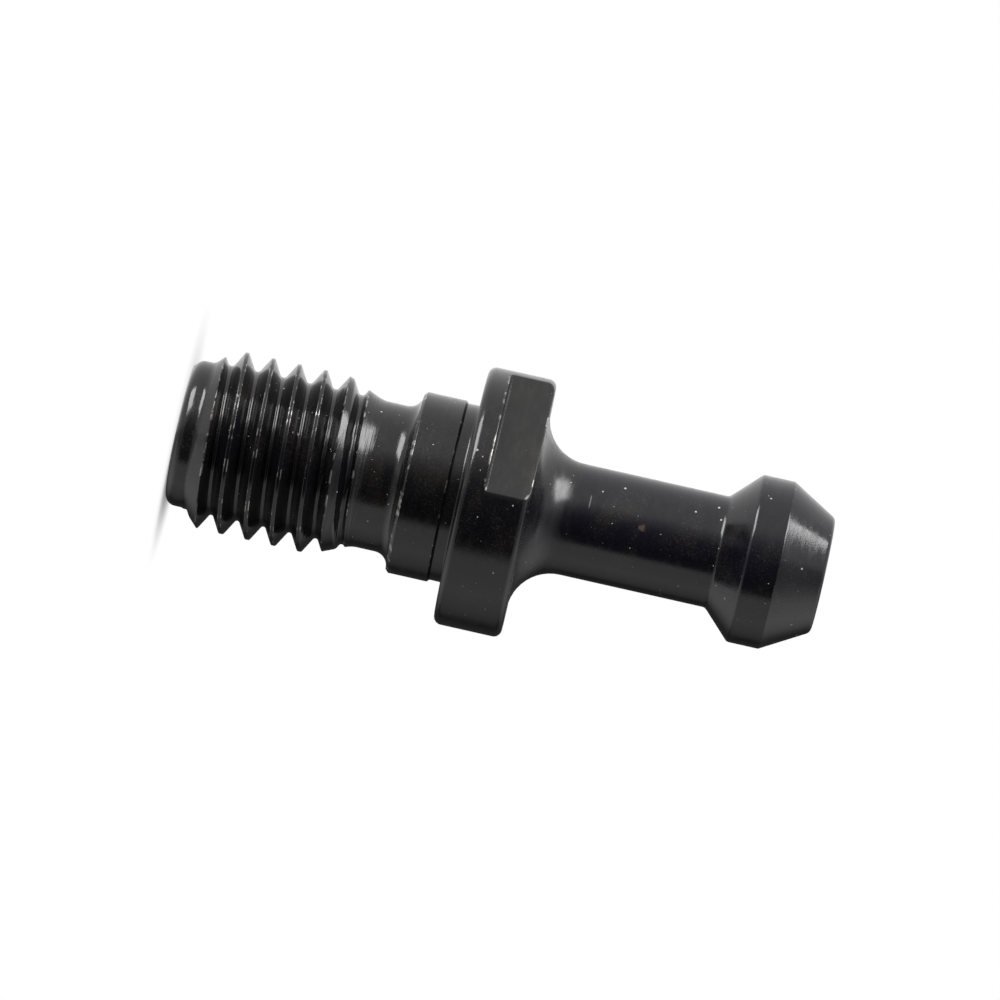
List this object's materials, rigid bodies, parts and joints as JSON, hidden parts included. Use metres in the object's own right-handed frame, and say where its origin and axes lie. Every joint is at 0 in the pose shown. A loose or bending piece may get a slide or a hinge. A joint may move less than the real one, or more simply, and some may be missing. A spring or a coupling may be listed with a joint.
{
  "type": "pull stud",
  "caption": "Turned steel pull stud for a tool holder: threaded end, pilot, flange with wrench flats, waisted neck and conical grip head.",
  "frame": {"origin": "centre of the face of the thread end, on the stud's axis", "axes": "+Z along the stud's axis from the thread end to the head; the two wrench flats face +Y and -Y"},
  "size_m": [0.0172, 0.0172, 0.043],
  "materials": {
    "black_oxide_steel": "black oxide, satin"
  },
  "bodies": {
    "root": {"pull_stud": "black_oxide_steel"}
  },
  "joints": []
}
